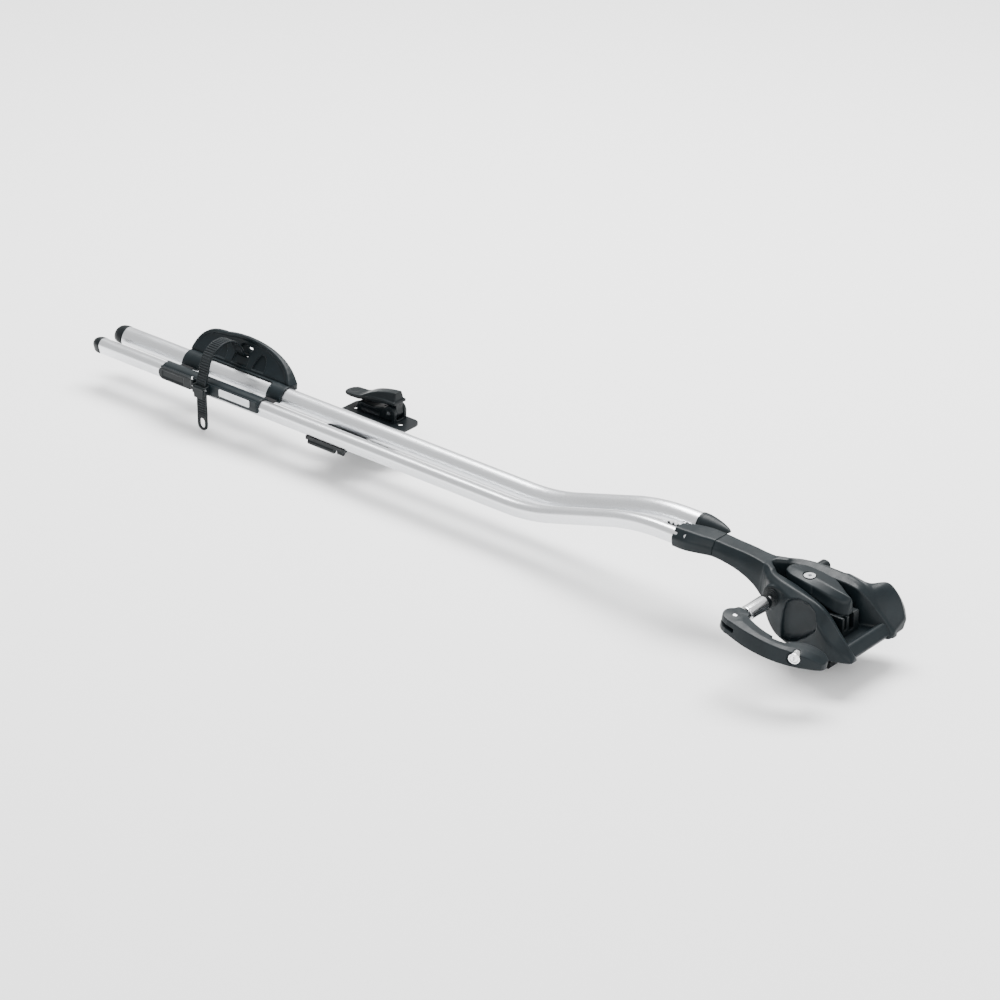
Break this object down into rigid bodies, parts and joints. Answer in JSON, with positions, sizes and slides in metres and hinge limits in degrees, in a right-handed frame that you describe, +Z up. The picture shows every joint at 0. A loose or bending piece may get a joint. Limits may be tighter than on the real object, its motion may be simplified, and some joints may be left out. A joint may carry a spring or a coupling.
{
  "type": "fork-mount bicycle roof carrier",
  "caption": "Roof carrier that clamps a bicycle by its front fork: rails, fork head with locking lever, sliding wheel tray with ratchet strap, and clamps for load bars.",
  "frame": {"origin": "centre of the front load-bar seat, on its underside", "axes": "+X along the rails towards the fork head, +Y away from the quick-release lever, +Z up, so the load bars lie along Y just below Z 0"},
  "size_m": [1.4445, 0.2566, 0.134],
  "materials": {
    "slate_plastic": "fine moulded grain",
    "dark_plastic": "fine moulded grain",
    "satin_aluminium": "satin anodised, brushed along the rails",
    "zinc_steel": "zinc plated",
    "bright_steel": "brushed",
    "black_steel": "black powder coat",
    "lock_chrome": "bright",
    "pad_rubber": "matt",
    "strap_rubber": "satin",
    "label_silver": "satin, blank"
  },
  "bodies": {
    "frame": {"near_rail": "satin_aluminium", "far_rail": "satin_aluminium", "near_end_cap": "dark_plastic", "far_end_cap": "dark_plastic", "neck_moulding": "slate_plastic", "far_rail_plug": "slate_plastic", "bridge_tab": "black_steel", "bridge_rivets": "zinc_steel", "neck_bolts": "zinc_steel", "head_body": "slate_plastic", "head_cover": "slate_plastic", "guide_block": "dark_plastic", "front_crossbar": "slate_plastic", "fork_collars": "dark_plastic", "axle_tube": "zinc_steel", "front_bar_pads": "pad_rubber", "head_screws": "zinc_steel"},
    "skewer": {"skewer_rod": "zinc_steel", "skewer_nut": "dark_plastic", "thrust_bush": "bright_steel", "grip_ring": "dark_plastic", "cam_pin": "zinc_steel"},
    "qr_lever": {"qr_lever": "slate_plastic", "lock_barrel": "lock_chrome"},
    "lock_plug": {"lock_plug": "bright_steel"},
    "front_jaw": {"front_jaw": "dark_plastic", "front_jaw_pad": "pad_rubber", "jaw_nut": "zinc_steel"},
    "clamp_bolt": {"clamp_bolt": "zinc_steel"},
    "wheel_tray": {"tray_saddle": "slate_plastic", "tray_cradle": "slate_plastic", "cradle_pads": "pad_rubber", "label_plate": "label_silver", "wheel_strap": "strap_rubber", "strap_anchor_pin": "zinc_steel", "buckle_base": "dark_plastic", "buckle_pin": "zinc_steel", "tray_screws": "zinc_steel", "tray_lever_pin": "zinc_steel"},
    "tray_lever": {"tray_lever": "dark_plastic"},
    "buckle_pawl": {"buckle_pawl": "dark_plastic"},
    "rear_foot": {"foot_plate": "black_steel", "foot_block": "dark_plastic", "foot_barrel": "dark_plastic", "foot_tbolts": "zinc_steel", "foot_nuts": "zinc_steel", "rear_bar_pad": "pad_rubber", "foot_lever_pin": "zinc_steel"},
    "foot_lever": {"foot_lever": "dark_plastic"},
    "foot_claw": {"foot_claw": "black_steel", "foot_claw_pad": "pad_rubber"}
  },
  "joints": [
    {"name": "skewer_slide", "type": "slide", "parent": "frame", "child": "skewer", "axis": [0, 1, 0], "range_m": [0, 0.004]},
    {"name": "qr_lever_swing", "type": "hinge", "parent": "skewer", "child": "qr_lever", "pos_m": [-0.062, -0.13, 0.059], "axis": [-0.2164, 0, -0.9763], "range_deg": [0, 110]},
    {"name": "lock_turn", "type": "hinge", "parent": "qr_lever", "child": "lock_plug", "pos_m": [0.03682, -0.13, 0.03812], "axis": [0.3657, -0.9272, -0.0811], "range_deg": [0, 90]},
    {"name": "clamp_bolt_turn", "type": "hinge", "parent": "frame", "child": "clamp_bolt", "pos_m": [-0.035, 0, 0.08], "axis": [0, 0, 1], "range_deg": [-720, 2160]},
    {"name": "front_jaw_slide", "type": "slide", "parent": "frame", "child": "front_jaw", "axis": [0, 0, -1], "range_m": [-0.0025, 0.0075]},
    {"name": "wheel_tray_slide", "type": "slide", "parent": "frame", "child": "wheel_tray", "axis": [1, 0, 0], "range_m": [-0.1, 0.03]},
    {"name": "tray_lever_flip", "type": "hinge", "parent": "wheel_tray", "child": "tray_lever", "pos_m": [-1.141, -0.04455, 0.036], "axis": [0, 0, 1], "range_deg": [0, 90]},
    {"name": "buckle_pawl_lift", "type": "hinge", "parent": "wheel_tray", "child": "buckle_pawl", "pos_m": [-1.122, -0.0496, 0.037], "axis": [-1, 0, 0], "range_deg": [0, 60]},
    {"name": "rear_foot_slide", "type": "slide", "parent": "frame", "child": "rear_foot", "axis": [1, 0, 0], "range_m": [-0.01, 0.27]},
    {"name": "foot_lever_swing", "type": "hinge", "parent": "rear_foot", "child": "foot_lever", "pos_m": [-0.856, 0.09, 0.033], "axis": [0, 1, 0], "range_deg": [0, 95]},
    {"name": "foot_claw_slide", "type": "slide", "parent": "rear_foot", "child": "foot_claw", "axis": [0, 0, -1], "range_m": [0, 0.006]}
  ],
  "couplings": [
    {"joint": "skewer_slide", "follows": "qr_lever_swing", "m_per_rad": 0.0020833},
    {"joint": "clamp_bolt_turn", "follows": "front_jaw_slide", "rad_per_m": 5026},
    {"joint": "foot_claw_slide", "follows": "foot_lever_swing", "m_per_rad": 0.0036183}
  ]
}
